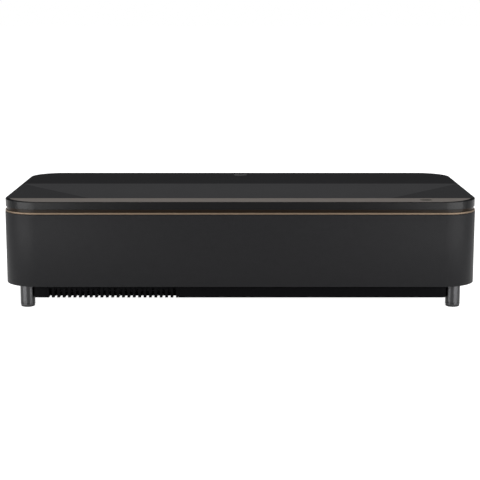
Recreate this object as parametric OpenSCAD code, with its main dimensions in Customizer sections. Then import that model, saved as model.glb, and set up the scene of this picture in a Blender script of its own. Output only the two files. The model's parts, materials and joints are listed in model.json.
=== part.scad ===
// Ultra short throw home projector: a low cabinet on four screw feet.
// X runs to the right, Y to the wall behind, Z up. The origin is on the table, under the middle of the body.

/* [Body] */
// Overall width
body_w = 695; // [680:1:740]
// Overall depth
body_d = 341; // [336:1:370]
// Overall height, from the table to the deck
body_h = 158.5; // [152:0.5:175]
// Radius of the vertical corners
corner_r = 50; // [47:1:56]
// Wall of the mouldings
wall = 2.6; // [2:0.1:3.2]
// Height of the underside of the base above the table
base_clear = 14; // [11:0.5:18]
// Height of the base tub below the cabinet
tub_h = 19; // [17:0.5:22]
// Margin of the tub inside the cabinet's sides
tub_side = 39; // [38.5:0.5:50]
// Margin of the tub inside the cabinet's front and back
tub_end = 15.5; // [13:0.5:20]
// Radius of the tub's corners
tub_r = 12; // [10:1:30]
// Clearance of the tub's pockets round the feet
pocket_clear = 1.2; // [1:0.1:2]
// Margin of the chassis plate inside the cabinet's sides
chassis_side = 39.5; // [39.5:0.5:42]
// Radius of the chassis plate's corners
chassis_r = 20; // [16:1:30]

/* [Top cover] */
// Height of the cover's skirt
skirt_h = 11.6; // [10.4:0.1:12]
// Shadow gap between skirt and accent line
reveal_h = 4.5; // [3:0.1:4.6]
// Thickness of the accent frame
accent_t = 2.6; // [2:0.1:4]
// Step of the cover inside the cabinet's outline
cover_inset = 0.8; // [0:0.1:1.5]
// Distance of the crease behind the middle
crease_y = 30.6; // [20:0.1:40]
// Depth of the sloping front rim
rim_d = 38; // [36:0.5:44]
// Slope of the front rim
rim_slope = 0.005; // [0.005:0.005:0.03]
// Slope of the basin floor
basin_slope = 0.1; // [0.08:0.005:0.11]
// Slope of the two corner facets
facet_slope = 0.082; // [0.07:0.002:0.1]
// Thickness of the rim panel
panel_t = 0.8; // [0.5:0.1:1.2]
// Depth of the shadow gap behind the cover's edge
neck_inset = 8; // [7:0.5:9]
// Depth of the shadow gap in front of its liner
liner_inset = 2.5; // [1.5:0.5:4]
// Diameter of the power button
button_d = 17; // [12:0.5:20]
// Distance of the power button from the right side
button_side = 76.5; // [70:0.5:110]
// Distance of the power button ahead of the rim's rear edge
button_back = 17; // [15:0.5:21]
// Diameter of the receiver window in the deck
sensor_d = 23; // [16:0.5:30]
// Distance of the receiver window from the back
sensor_back = 27.5; // [24:0.5:60]

/* [Front cover] */
// Thickness of the front cover
front_t = 8; // [7:0.5:9]
// Thickness of its cloth
cloth_t = 0.8; // [0.5:0.1:1.2]
// Length of its returns along the sides
return_l = 75; // [65:1:85]
// Width of a sound slot
slot_w = 5; // [3:0.5:6]
// Pitch of the sound slots
slot_pitch = 9; // [8:0.5:12]

/* [Base comb] */
// Pitch of the comb's ribs
comb_pitch = 7.95; // [7:0.05:9]
// Width of a comb slot
comb_slot = 4; // [3:0.25:5]
// Number of comb slots
comb_count = 24; // [16:1:25]
// Distance of the comb from the left side
comb_side = 64; // [56:0.5:66]
// Depth of the comb under the base
comb_d = 16; // [12:0.5:20]

/* [Feet] */
// Diameter of a foot
foot_d = 21.6; // [18:0.2:24]
// Height of the rubber pad
pad_h = 3; // [2:0.25:4]
// Diameter of the foot's screw
screw_d = 8; // [6:0.5:9]
// Distance of a foot's middle from the side
foot_side = 33.5; // [31.5:0.5:34.5]
// Distance of a foot's middle from the front or the back
foot_end = 23.5; // [22.5:0.5:27.5]
// Height of the brass insert that a foot screws into
insert_h = 12; // [8:0.5:13]

/* [Optics] */
// Height of the lens axis above the chassis
axis_h = 32.4; // [31.5:0.1:34]
// Diameter of the lens barrel's bore
bore_d = 40; // [34:0.5:41]
// Wall of the lens barrel at the focus ring
barrel_wall = 4.2; // [3.5:0.1:4.4]
// Distance from the mirror to the lens barrel
throw_l = 91.5; // [84:0.5:96]
// Length of the sliding lens group
group_l = 34; // [24:1:40]
// Teeth of the focus ring
ring_teeth = 60; // [58:1:62]
// Teeth of the focus pinion
pinion_teeth = 12; // [11:1:13]
// Tooth module of the focus gears
gear_m = 1; // [0.98:0.01:1.02]
// Width of the focus gears
ring_t = 8; // [6:0.5:10]
// Radius of the focus shaft
shaft_r = 2.5; // [2:0.1:3]
// Half width of the mirror
mirror_hw = 72; // [66:1:76]
// Distance of the mirror from the front
mirror_back = 34; // [32:0.5:38]
// Thickness of the mirror
mirror_t = 4; // [3:0.5:5]
// Twice the focal length of the mirror
mirror_f = 200; // [180:5:260]
// Half width of the projection opening
opening_hw = 88; // [80:1:90]
// Length of the projection opening
opening_l = 54; // [48:1:58]
// Distance of the projection opening behind the rim
opening_back = 10.5; // [8:0.5:12]
// Thickness of the cover glass
glass_t = 3; // [2:0.25:3.5]
// Thickness of the shutter plate
shutter_t = 2; // [1.5:0.1:2.2]
// Tooth module of the shutter drive
rack_m = 0.8; // [0.7:0.05:0.9]
// Teeth of the shutter pinion
drive_teeth = 14; // [12:1:15]
// Width of the rack
rack_w = 5; // [4:0.5:6]
// Thickness of the folded sheet parts
sheet_t = 3; // [2:0.25:3.5]

/* [Light source] */
// Width of the light engine
engine_w = 112; // [100:1:114]
// Depth of the light engine
engine_d = 56; // [50:1:58]
// Height of the light engine's body
engine_h = 52; // [50:1:60]
// Height of the light engine's lid
engine_lid = 10; // [6:0.5:14]
// Length of the laser module
laser_l = 78; // [70:1:84]
// Height of the laser module's base
laser_base = 18; // [16:0.5:22]
// Height of the laser module
laser_h = 48; // [42:1:56]
// Pitch of the laser windows
laser_pitch = 16; // [14:0.5:18]
// Radius of the phosphor wheel
wheel_r = 22; // [18:0.5:24]
// Radius of the heat pipe
pipe_r = 3; // [2.5:0.1:3.5]

/* [Cooling] */
// Width of the intake fan
intake_w = 120; // [110:1:122]
// Width of an exhaust fan
exhaust_w = 92; // [80:1:92]
// Distance of the exhaust fans from the back
exhaust_back = 48.5; // [46:0.5:54]
// Thickness of the fans
fan_t = 25; // [20:1:28]
// Width of a fan's rim at its narrowest
fan_rim = 3; // [2.5:0.1:4]
// Blades of a fan
fan_blades = 7; // [5:1:9]
// Height of the heat sink
sink_h = 78; // [60:1:84]
// Pitch of the heat sink's fins
fin_pitch = 5; // [4:0.5:7]
// Thickness of a fin
fin_t = 1; // [0.6:0.1:1.5]
// Length of the filter drawer
tray_l = 118; // [100:1:126]
// Width of a filter pleat
pleat = 6; // [5:0.5:9]

/* [Speakers] */
// Radius of a speaker
driver_r = 28; // [24:0.5:29]
// Distance of a speaker's middle from the side
driver_side = 79.5; // [78:0.5:82]
// Distance of a speaker box's inner side from the side
box_side = 113.5; // [110:0.5:116]
// Depth of a speaker box
box_d = 90; // [70:1:92]
// Height of the feet under a speaker box
box_foot = 14.4; // [13.5:0.1:16]

/* [Boards] */
// Thickness of the boards
board_t = 1.6; // [1.2:0.1:2]
// Depth of the power board
power_d = 112; // [100:1:114]
// Height of the parts on the power board
power_h = 38; // [30:1:44]

/* [Rear] */
// Width of the connector bay
bay_w = 260; // [240:1:280]
// Height of the connector bay
bay_h = 56; // [52:1:60]
// Depth of the connector bay
bay_d = 28; // [26:0.5:30]
// Height of the bay above the chassis
bay_up = 24; // [20:1:28]
// Distance from the bay's left side to the first video socket
video_side = 40; // [24:1:41]
// Pitch of the video sockets
video_pitch = 24; // [20:1:24]
// Pitch of the USB sockets
usb_pitch = 22; // [17:1:24]
// Pitch of the audio sockets
audio_pitch = 18; // [12:1:20]
// Distance from the bay's right side to the mains inlet
inlet_side = 34; // [24:1:36]

/* [Hidden] */

eps = 0.01;           // how far a cutter reaches past a face
cut = 60;             // a length that clears any wall
gap = 0.3;            // clearance between faces that part or slide
fit = 0.05;           // radial clearance of a running fit
fine = 96;            // facets of a large circle
round_fn = 48;        // facets of a small circle

half_w = body_w / 2;
half_d = body_d / 2;
floor_z = base_clear + tub_h;
plate_t = wall;
chassis_z = floor_z + plate_t;
chassis_t = 1.6;
seat_z = chassis_z + chassis_t;
skirt_z = body_h - skirt_h;
accent_z = skirt_z - reveal_h - accent_t;
neck_z = accent_z + accent_t;
cover_w = body_w - 2 * cover_inset;
cover_d = body_d - 2 * cover_inset;
cover_r = corner_r - cover_inset;
rim_y = -half_d + rim_d;
case_w = body_w - 2 * front_t;
case_d = body_d - 2 * front_t;
case_r = corner_r - front_t;
return_y = -half_d + return_l;
wall_y = -half_d + front_t;
baffle_y = wall_y + wall + gap;
flange_w = neck_inset + 10;
flange_t = 3;
tub_w = body_w - 2 * tub_side;
tub_d = body_d - 2 * tub_end;

function floor_at(y) = body_h - basin_slope * (crease_y - y);
slope_angle = atan(basin_slope);
rim_angle = atan(rim_slope);

// Flat outlines
module rounded(w, d, r) {
  square([w - 2 * r, d], center = true);
  square([w, d - 2 * r], center = true);
  for (sx = [-1, 1], sy = [-1, 1])
    translate([sx * (w / 2 - r), sy * (d / 2 - r)]) circle(r, $fn = fine);
}

module body_outline(inset = 0) {
  rounded(body_w - 2 * inset, body_d - 2 * inset, corner_r - inset);
}

// The cabinet behind its front cover: stepped in at the front, full size behind the cover's returns
module case_outline(inset = 0) {
  rounded(case_w - 2 * inset, case_d - 2 * inset, case_r - inset);
  intersection() {
    body_outline(inset);
    translate([-body_w, return_y + inset]) square([2 * body_w, body_d]);
  }
}

module at(p) {
  translate(p) children();
}

// Extrudes an outline drawn in Y and Z along X, between two places
module along_x(x0, x1) {
  translate([x0, 0, 0]) rotate([90, 0, 90]) linear_extrude(x1 - x0) children();
}

// Extrudes an outline drawn in X and Z along Y, between two places
module along_y(y0, y1) {
  translate([0, y1, 0]) rotate([90, 0, 0]) linear_extrude(y1 - y0) children();
}

module block(x0, x1, y0, y1, z0, z1) {
  translate([x0, y0, z0]) cube([x1 - x0, y1 - y0, z1 - z0]);
}

module rod_x(r, x0, x1, y, z) {
  translate([x0, y, z]) rotate([0, 90, 0]) cylinder(h = x1 - x0, r = r, $fn = round_fn);
}

module rod_y(r, y0, y1, x, z) {
  translate([x, y1, z]) rotate([90, 0, 0]) cylinder(h = y1 - y0, r = r, $fn = fine);
}

module rod_z(r, z0, z1, x, y) {
  translate([x, y, z0]) cylinder(h = z1 - z0, r = r, $fn = round_fn);
}

// Spur gear outline with straight-sided teeth; the first tooth is centred on +X
module gear(teeth, m, root = 1.25) {
  pitch_r = teeth * m / 2;
  step = 360 / teeth;
  polygon([for (i = [0:teeth - 1], k = [[-0.31, -root], [-0.12, 1], [0.12, 1], [0.31, -root]])
    (pitch_r + k[1] * m) * [cos(step * (i + k[0])), sin(step * (i + k[0]))]]);
}

// Top cover ------------------------------------------------------------

// What is cut away above the surface: the sloping rim, and a basin of one floor and two corner facets.
// A drop lowers the surface, which gives the inside of the moulding.
rise = 2 * skirt_h;

module above_rim(drop = 0) {
  translate([0, 0, -drop]) along_x(-body_w, body_w) polygon([
    [rim_y, body_h],
    [-body_d, body_h - rim_slope * (rim_y + body_d)],
    [-body_d, body_h + rise],
    [rim_y, body_h + rise]
  ]);
}

module above_basin(drop = 0) {
  translate([0, 0, -drop]) intersection() {
    along_x(-body_w, body_w) polygon([
      [crease_y, body_h],
      [rim_y - drop, floor_at(rim_y - drop)],
      [rim_y - drop, body_h + rise],
      [crease_y + rise / basin_slope, body_h + rise]
    ]);
    along_y(-body_d, crease_y + eps) polygon([
      [-half_w, body_h],
      [0, body_h - facet_slope * half_w],
      [half_w, body_h],
      [half_w + rise / facet_slope, body_h + rise],
      [-half_w - rise / facet_slope, body_h + rise]
    ]);
  }
}

module above_surface(drop = 0) {
  above_rim(drop);
  above_basin(drop);
  translate([-body_w, -body_d, body_h - drop]) cube([2 * body_w, 2 * body_d, rise]);
}

opening_y0 = rim_y + opening_back;
opening_y1 = opening_y0 + opening_l;
pan_z = floor_at(rim_y) - wall - 1;
button_x = half_w - button_side;
button_y = rim_y - button_back;
button_z = body_h - rim_slope * (rim_y - button_y);
sensor_y = half_d - sensor_back;
sensor_t = 1.2;

// Places its children on the sloping rim, at the power button, with Z out of the surface
module on_rim() {
  translate([button_x, button_y, button_z]) rotate([rim_angle, 0, 0]) children();
}

// Solid of the cover's outside: the skirt's slab, and the deeper pan of the basin inside the neck
module cover_outside() {
  translate([0, 0, skirt_z]) linear_extrude(skirt_h) rounded(cover_w, cover_d, cover_r);
  translate([0, 0, pan_z]) linear_extrude(skirt_h) body_outline(neck_inset);
}

module top_cover() {
  color("#29292a") difference() {
    union() {
      difference() {
        cover_outside();
        above_surface();
        difference() {
          translate([0, 0, pan_z - eps]) linear_extrude(skirt_h + skirt_z - pan_z)
            rounded(cover_w - 2 * wall, cover_d - 2 * wall, cover_r - wall);
          above_surface(wall);
        }
      }
      // The neck that stands on the accent frame, behind the shadow gap
      difference() {
        translate([0, 0, neck_z]) linear_extrude(body_h - neck_z) difference() {
          body_outline(neck_inset);
          body_outline(neck_inset + wall);
        }
        above_surface(wall / 2);
      }
    }
    // Seat of the rim panel
    above_rim(panel_t);
    block(-opening_hw, opening_hw, opening_y0, opening_y1, pan_z - wall, body_h);
    on_rim() cylinder(h = cut, d = button_d + 2 * gap, center = true, $fn = round_fn);
    rod_z(sensor_d / 2, body_h - sensor_t, body_h + wall, 0, sensor_y);
    rod_z(sensor_d / 2 - 2, skirt_z, body_h, 0, sensor_y);
  }
}

// Ring that lines the shadow gap in front of the neck and hides it from the sides
module gap_liner() {
  color("#2a2119") translate([0, 0, neck_z]) linear_extrude(reveal_h - gap) difference() {
    body_outline(liner_inset);
    body_outline(neck_inset - gap);
  }
}

module rim_panel() {
  color("#6b6662") difference() {
    intersection() {
      translate([0, 0, skirt_z]) linear_extrude(skirt_h) rounded(cover_w, cover_d, cover_r);
      above_rim(panel_t);
    }
    above_rim();
    on_rim() cylinder(h = cut, d = button_d + 2 * gap, center = true, $fn = round_fn);
  }
}

module sensor_window() {
  color("#1b1b1d") difference() {
    rod_z(sensor_d / 2, body_h - sensor_t, body_h, 0, sensor_y);
    translate([0, sensor_y, body_h + sensor_d]) sphere(r = sensor_d + sensor_t / 2, $fn = fine);
  }
}

button_travel = 1.2;
flange_r = button_d / 2 + 0.8;
flange_h = 1;
button_drop = wall + panel_t + gap;
stem_r = 1.5;
stem_h = 1;
stem_reach = 0.5;
switch_z = -button_drop - flange_h - stem_h;

module power_button() {
  color("#514c48") on_rim() {
    translate([0, 0, -button_drop - flange_h])
      cylinder(h = button_drop + flange_h, d = button_d, $fn = round_fn);
    translate([0, 0, -button_drop - flange_h]) cylinder(h = flange_h, r = flange_r, $fn = round_fn);
    translate([0, 0, switch_z - stem_reach])
      cylinder(h = stem_h + stem_reach + eps, r = stem_r, $fn = round_fn);
  }
}

// Switch on a small board, on two posts under the rim; the button's stem reaches into it
module button_switch() {
  body_w = 6;
  body_t = button_travel + stem_reach + 1;
  board_w = 40;
  board_d = 14;
  board_t = 1.2;
  post_r = 2.5;
  color("#30503a") on_rim() difference() {
    union() {
      translate([-body_w / 2, -body_w / 2, switch_z - button_travel - body_t]) cube([body_w, body_w, body_t]);
      translate([-board_w / 2, -board_d / 2, switch_z - button_travel - body_t - board_t])
        cube([board_w, board_d, board_t]);
      for (s = [-1, 1])
        translate([s * (board_w / 2 - post_r - 1), 0, switch_z - button_travel - body_t - eps])
          cylinder(h = button_travel + body_t - switch_z - wall - panel_t + eps, r = post_r, $fn = round_fn);
    }
    translate([0, 0, switch_z - button_travel - stem_reach - gap])
      cylinder(h = body_t, r = stem_r + fit, $fn = round_fn);
  }
}

// Cabinet ----------------------------------------------------------------

module accent_frame() {
  color("#b08252") difference() {
    translate([0, 0, accent_z]) linear_extrude(accent_t) difference() {
      body_outline(gap);
      body_outline(flange_w);
    }
  }
}

grille_y0 = return_y + 30;
grille_y1 = half_d - corner_r + 5;
grille_z0 = seat_z + 10;
grille_z1 = accent_z - flange_t - 8;
bay_z0 = seat_z + bay_up;
bay_z1 = bay_z0 + bay_h;
bay_y = half_d - bay_d;
shaft_angle = -40;
axis_z = seat_z + axis_h;
gear_distance = (ring_teeth + pinion_teeth) * gear_m / 2;
shaft_x = gear_distance * cos(shaft_angle);
shaft_z = axis_z + gear_distance * sin(shaft_angle);
knob_r = 8;
driver_x = half_w - driver_side;
driver_z = (seat_z + accent_z) / 2 + 4;
speaker_z0 = seat_z + box_foot;
speaker_z1 = accent_z - flange_t - 6;
speaker_x0 = half_w - box_side;
speaker_y1 = baffle_y + box_d;
screw_rows = [-0.44, 0.12, 0.62];  // as shares of half the depth
screw_places = [for (sx = [-1, 1], k = screw_rows) [sx * (half_w - 27.5), k * half_d]];
boss_r = 4;
boss_h = 12;
thread_r = 1.5;

module main_case() {
  color("#222224") difference() {
    union() {
      difference() {
        translate([0, 0, chassis_z]) linear_extrude(accent_z - chassis_z) case_outline();
        translate([0, 0, chassis_z - eps]) linear_extrude(accent_z - flange_t - chassis_z) case_outline(wall);
        translate([0, 0, chassis_z]) linear_extrude(accent_z) body_outline(flange_w);
      }
      // Walls of the connector bay
      block(-bay_w / 2 - wall, bay_w / 2 + wall, bay_y, half_d - eps, bay_z0 - wall, bay_z1 + wall);
      // Screw bosses, each tied to the side wall by a rib
      for (p = screw_places) {
        rod_z(boss_r, chassis_z, chassis_z + boss_h, p[0], p[1]);
        block(min(p[0], sign(p[0]) * (half_w - wall / 2)), max(p[0], sign(p[0]) * (half_w - wall / 2)),
          p[1] - wall / 2, p[1] + wall / 2, chassis_z, chassis_z + boss_h);
      }
    }
    block(-bay_w / 2, bay_w / 2, bay_y - eps, body_d, bay_z0, bay_z1);
    for (p = screw_places) rod_z(thread_r, chassis_z - eps, chassis_z + boss_h - 1, p[0], p[1]);
    // Windows for the side grilles
    for (s = [-1, 1])
      block(min(s * (half_w - 3 * wall), s * body_w), max(s * (half_w - 3 * wall), s * body_w),
        grille_y0, grille_y1, grille_z0, grille_z1);
    // Speaker holes and the hole for the focus knob
    for (s = [-1, 1]) rod_y(driver_r, wall_y - 1, wall_y + wall + 1, s * driver_x, driver_z);
    rod_y(knob_r + 2 * gap, wall_y - 1, wall_y + wall + 1, shaft_x, shaft_z);
  }
}

comb_x0 = comb_side - half_w;
comb_x1 = comb_x0 + (comb_count - 1) * comb_pitch + comb_slot + comb_pitch / 2;
comb_edge = comb_pitch / 4;
tray_front = -half_d + tub_end;
tray_top = floor_z - wall;
insert_r = screw_d / 2 + 1.2;
foot_x = half_w - foot_side;
foot_y = half_d - foot_end;
foot_boss_r = insert_r + 1.6;
foot_places = [[-foot_x, -foot_y], [foot_x, -foot_y], [-foot_x, foot_y], [foot_x, foot_y]];

// Plan of the tub, with a shallow pocket round each foot
module tub_outline(inset = 0) {
  difference() {
    rounded(tub_w - 2 * inset, tub_d - 2 * inset, tub_r - inset);
    for (p = foot_places) translate(p) circle(d = foot_d + 2 * (pocket_clear + inset), $fn = round_fn);
  }
}

module bottom_case() {
  color("#151516") difference() {
    union() {
      translate([0, 0, base_clear]) linear_extrude(tub_h + plate_t) tub_outline();
      translate([0, 0, floor_z]) linear_extrude(plate_t) case_outline();
      intersection() {
        for (p = foot_places) rod_z(foot_boss_r, floor_z, chassis_z + insert_h, p[0], p[1]);
        translate([0, 0, floor_z]) linear_extrude(cut) case_outline(wall + gap);
      }
    }
    translate([0, 0, base_clear + wall]) linear_extrude(tub_h + wall) tub_outline(wall);
    // Mouth for the filter tray
    block(comb_x0 - comb_edge - gap, comb_x1 + comb_edge + gap, tray_front - 1, tray_front + comb_d + gap,
      base_clear - 1, tray_top + gap);
    for (p = foot_places) {
      rod_z(screw_d / 2 + gap, floor_z - 1, chassis_z, p[0], p[1]);
      rod_z(insert_r, chassis_z - eps, chassis_z + insert_h + 1, p[0], p[1]);
    }
    for (p = screw_places) rod_z(thread_r + gap, floor_z - 1, chassis_z + 1, p[0], p[1]);
  }
}

module case_screws() {
  color("#8d8f92") for (p = screw_places) {
    rod_z(3, floor_z - 2, floor_z, p[0], p[1]);
    rod_z(thread_r, floor_z - eps, chassis_z + boss_h - 2, p[0], p[1]);
  }
}

chassis_w = body_w - 2 * chassis_side;
chassis_d = tub_d + 6;
bracket_x = mirror_hw + gap;
intake_x = -(speaker_x0 + bracket_x + sheet_t) / 2;
intake_y = baffle_y + 8 + intake_w / 2;

module chassis_plate() {
  color("#9a9c9e") translate([0, 0, chassis_z]) linear_extrude(chassis_t) difference() {
    rounded(chassis_w, chassis_d, chassis_r);
    translate([intake_x, intake_y]) circle(d = intake_w - 2 * fan_rim, $fn = fine);
  }
}

// One louvred panel, for the right-hand side
module side_grille() {
  slats = 13;
  frame_w = 4;
  pitch = (grille_z1 - grille_z0 - 2 * frame_w) / slats;
  difference() {
    block(half_w - 2 * wall, half_w, grille_y0 + gap, grille_y1 - gap, grille_z0 + gap, grille_z1 - gap);
    block(half_w - cut, half_w + cut, grille_y0 + frame_w, grille_y1 - frame_w,
      grille_z0 + frame_w, grille_z1 - frame_w);
  }
  for (i = [0:slats - 1])
    along_y(grille_y0 + frame_w - 1, grille_y1 - frame_w + 1)
      translate([half_w, grille_z0 + frame_w + (i + 0.3) * pitch])
        polygon([[0, 0], [0, 1.6], [-2 * wall, 1.6 + 2], [-2 * wall, 2]]);
}

// Front cover ------------------------------------------------------------

cover_z0 = floor_z;
cover_z1 = accent_z - gap;

// The U of the front cover, between two insets of the cabinet's outline
module front_band(outer, inner) {
  intersection() {
    difference() {
      body_outline(outer);
      body_outline(inner);
    }
    translate([-body_w, -body_d]) square([2 * body_w, body_d + return_y - gap]);
  }
}

module grille_frame() {
  slot_h = 2 * driver_r + 8;
  n = floor(2 * driver_r / slot_pitch / 2);
  color("#1e1e20") difference() {
    translate([0, 0, cover_z0]) linear_extrude(cover_z1 - cover_z0) front_band(cloth_t, front_t - gap);
    for (s = [-1, 1], i = [-n:n])
      block(s * driver_x + i * slot_pitch - slot_w / 2, s * driver_x + i * slot_pitch + slot_w / 2,
        -body_d, rim_y, driver_z - slot_h / 2, driver_z + slot_h / 2);
  }
}

module grille_cloth() {
  color("#37373a") translate([0, 0, cover_z0]) linear_extrude(cover_z1 - cover_z0) front_band(0, cloth_t);
}

// Filter -------------------------------------------------------------------

tray_z = base_clear + wall + gap;
tray_t = 1.5;

module filter_tray() {
  x0 = comb_x0 - comb_edge;
  x1 = comb_x1 + comb_edge;
  color("#131314") difference() {
    union() {
      block(x0, x1, tray_front, tray_front + wall, base_clear, tray_top);
      block(x0, x1, tray_front, tray_front + comb_d, base_clear, base_clear + wall);
      difference() {
        block(x0, x1, tray_front + wall - eps, tray_front + tray_l, tray_z - gap, tray_top - wall);
        block(x0 + tray_t, x1 - tray_t, tray_front + comb_d, tray_front + tray_l - tray_t,
          tray_z + tray_t, tray_top);
        block(x0 + tray_t, x1 - tray_t, tray_front + wall, tray_front + comb_d + eps,
          tray_z - cut, tray_top);
        block(x0 - 1, x1 + 1, tray_front + comb_d - eps, body_d, tray_z - cut, tray_z);
        block(x0 + 12, x1 - 12, tray_front + comb_d + 8, tray_front + tray_l - 8, tray_z - 1, tray_top);
      }
      block(x0, x1, tray_front, tray_front + comb_d, base_clear, base_clear + wall);
    }
    for (i = [0:comb_count - 1])
      block(comb_x0 + i * comb_pitch + comb_pitch / 4, comb_x0 + i * comb_pitch + comb_pitch / 4 + comb_slot,
        tray_front - 1, tray_front + comb_d - wall, base_clear - 1, tray_top - wall);
  }
}

module air_filter() {
  x0 = comb_x0 - comb_edge + tray_t + gap;
  x1 = comb_x1 + comb_edge - tray_t - gap;
  y0 = tray_front + comb_d + gap;
  y1 = tray_front + tray_l - tray_t - gap;
  z0 = tray_z + tray_t;
  z1 = tray_top - wall - 1;
  n = floor((x1 - x0) / pleat);
  step = (x1 - x0) / n;
  color("#8a8d8f") along_y(y0, y1) polygon(concat(
    [for (i = [0:n - 1], k = [0, 1]) [x0 + (i + k / 2) * step, z0 + k * 1.5]],
    [[x1, z0], [x1, z1 - 1.5]],
    [for (i = [n - 1:-1:0], k = [1, 0]) [x0 + (i + k / 2) * step, z1 - 1.5 + k * 1.5]]
  ));
}

// Fans --------------------------------------------------------------------

strut_t = 3;
spindle_r = 2;
spindle_h = 6;
hub_share = 0.19;     // radius of a hub, as a share of the fan's width

// Square fan frame on its own axis, its hub carried by three struts on the far face
module fan_frame(w) {
  r = w / 2 - fan_rim;
  hole_in = 7;
  hole_r = 2.2;
  module rim() {
    difference() {
      square(w, center = true);
      circle(r = r, $fn = fine);
      for (sx = [-1, 1], sy = [-1, 1])
        translate([sx * (w / 2 - hole_in), sy * (w / 2 - hole_in)]) circle(r = hole_r, $fn = round_fn);
    }
  }
  linear_extrude(fan_t - strut_t) rim();
  translate([0, 0, fan_t - strut_t]) linear_extrude(strut_t) {
    rim();
    circle(r = hub_share * w, $fn = round_fn);
    for (a = [30:120:270]) rotate(a) translate([hub_share * w / 2, -strut_t / 2])
      square([r + 1 - hub_share * w / 2, strut_t]);
  }
  translate([0, 0, fan_t - strut_t - spindle_h])
    cylinder(h = spindle_h + strut_t / 2, r = spindle_r, $fn = round_fn);
}

// Rotor with curved blades, each an arc of a ring
module fan_rotor(w) {
  tip_gap = 1.5;
  r = w / 2 - fan_rim - tip_gap;
  blade_r = r * 0.62;
  blade_t = 1.4;
  blade_z = strut_t;
  blade_h = fan_t - strut_t - blade_z - 2;
  difference() {
    union() {
      translate([0, 0, blade_z - 1])
        cylinder(h = fan_t - strut_t - blade_z + 1 - gap, r = hub_share * w, $fn = round_fn);
      intersection() {
        translate([0, 0, blade_z]) cylinder(h = blade_h, r = r, $fn = fine);
        for (a = [0:360 / fan_blades:359]) rotate(a) translate([blade_r, 0, blade_z]) difference() {
          intersection() {
            cylinder(h = blade_h, r = blade_r, $fn = fine);
            translate([-blade_r, 0, 0]) cube([2 * blade_r + r, r, fan_t]);
          }
          translate([0, 0, -1]) cylinder(h = fan_t, r = blade_r - blade_t, $fn = fine);
        }
      }
    }
    translate([0, 0, fan_t - strut_t - spindle_h - 1]) cylinder(h = cut, r = spindle_r + fit, $fn = round_fn);
  }
}

module at_intake() {
  translate([intake_x, intake_y, seat_z]) children();
}

exhaust_x = speaker_x0 - fan_t - 2;
exhaust_gap = 4;
exhaust_y = [for (i = [1, 0]) half_d - exhaust_back - exhaust_w / 2 - i * (exhaust_w + exhaust_gap)];

// A fan whose axis runs along X, standing on the chassis
module at_exhaust(i) {
  translate([exhaust_x, exhaust_y[i], seat_z + exhaust_w / 2]) rotate([0, 90, 0]) children();
}

// Optics ------------------------------------------------------------------

well_drop = 23.6;      // how far the well's bottom lies below the basin
ring_in = 21;          // from the front end of the barrel to the focus ring
rear_t = 2.4;
socket_back = 10;
panel_y = bay_y;
socket_y0 = panel_y - socket_back;
board_y = socket_y0 - board_t;
pipe_y = board_y - 4.9;
pipe_z = seat_z + 9;
pipe_wall = 4;
engine_y1 = pipe_y - 8;
mirror_y = -half_d + mirror_back;
barrel_y0 = mirror_y + throw_l;
barrel_y1 = engine_y1 - engine_d;
journal_r = bore_d / 2 + barrel_wall;
ring_y0 = barrel_y0 + ring_in;
ring_y1 = ring_y0 + ring_t;
well_hw = opening_hw + 6;
well_y0 = opening_y0 - 5;
well_y1 = opening_y1 + 5;
well_z0 = floor_at(opening_y0) - well_drop;
mirror_z0 = seat_z + 15;
mirror_z1 = well_z0 - 6.4;
shutter_drop = wall + gap;
slide_x = well_hw + 14;
rack_x0 = well_hw + 2;
rack_back = 1;
tail_l = 24;
shutter_travel = opening_l + 8;
drive_r = drive_teeth * rack_m / 2;
drive_y = well_y1 + 10.5;

// Concave mirror: a shell between two paraboloids about the lens axis, cut to its rectangle
module concave_mirror() {
  steps = 12;
  reach = norm([mirror_hw, mirror_z1 - axis_z]) + 6;
  color("#c3c8cc") intersection() {
    translate([0, mirror_y, axis_z]) rotate([-90, 0, 0]) rotate_extrude($fn = fine) polygon(concat(
      [for (i = [0:steps]) [reach * i / steps, pow(reach * i / steps, 2) / mirror_f]],
      [for (i = [steps:-1:0]) [reach * i / steps, pow(reach * i / steps, 2) / mirror_f - mirror_t]]
    ));
    block(-mirror_hw, mirror_hw, -half_d, 0, mirror_z0, mirror_z1);
  }
}

lip_t = 2;
lip_w = 8;
bearing_hw = 6;
bracket_y0 = mirror_y - mirror_t - lip_t;
bracket_y1 = well_y1;

// Folded bracket: a foot on the chassis, two cheeks for the mirror, and a shelf for the lens well
module mirror_bracket() {
  color("#55585b") difference() {
    union() {
      block(-bracket_x - sheet_t, bracket_x + sheet_t, bracket_y0, bracket_y1, seat_z, seat_z + sheet_t);
      for (s = [-1, 1]) {
        block(min(s * bracket_x, s * (bracket_x + sheet_t)), max(s * bracket_x, s * (bracket_x + sheet_t)),
          bracket_y0, bracket_y1, seat_z, well_z0);
        block(min(s * (mirror_hw - lip_w), s * (bracket_x + eps)),
          max(s * (mirror_hw - lip_w), s * (bracket_x + eps)),
          bracket_y0, bracket_y0 + lip_t, seat_z, mirror_z1);
      }
      // The two bearings of the focus shaft
      for (y = [bracket_y0, bracket_y1 - sheet_t])
        block(shaft_x - bearing_hw, shaft_x + bearing_hw, y, y + sheet_t, seat_z, shaft_z + bearing_hw);
    }
    rod_y(shaft_r + fit, bracket_y0 - 1, bracket_y1 + 1, shaft_x, shaft_z);
  }
}

// A slab that follows the basin floor: its top and bottom lie so far below the surface
module sloped(x0, x1, y0, y1, top, bottom) {
  along_x(x0, x1) polygon([
    [y0, floor_at(y0) - bottom],
    [y1, floor_at(y1) - bottom],
    [y1, floor_at(y1) - top],
    [y0, floor_at(y0) - top]
  ]);
}

well_top = shutter_drop + shutter_t + gap;
arm_t = 3;
arm_r = 7;
arm_hole_r = 3;
glass_lip = 2;

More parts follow.
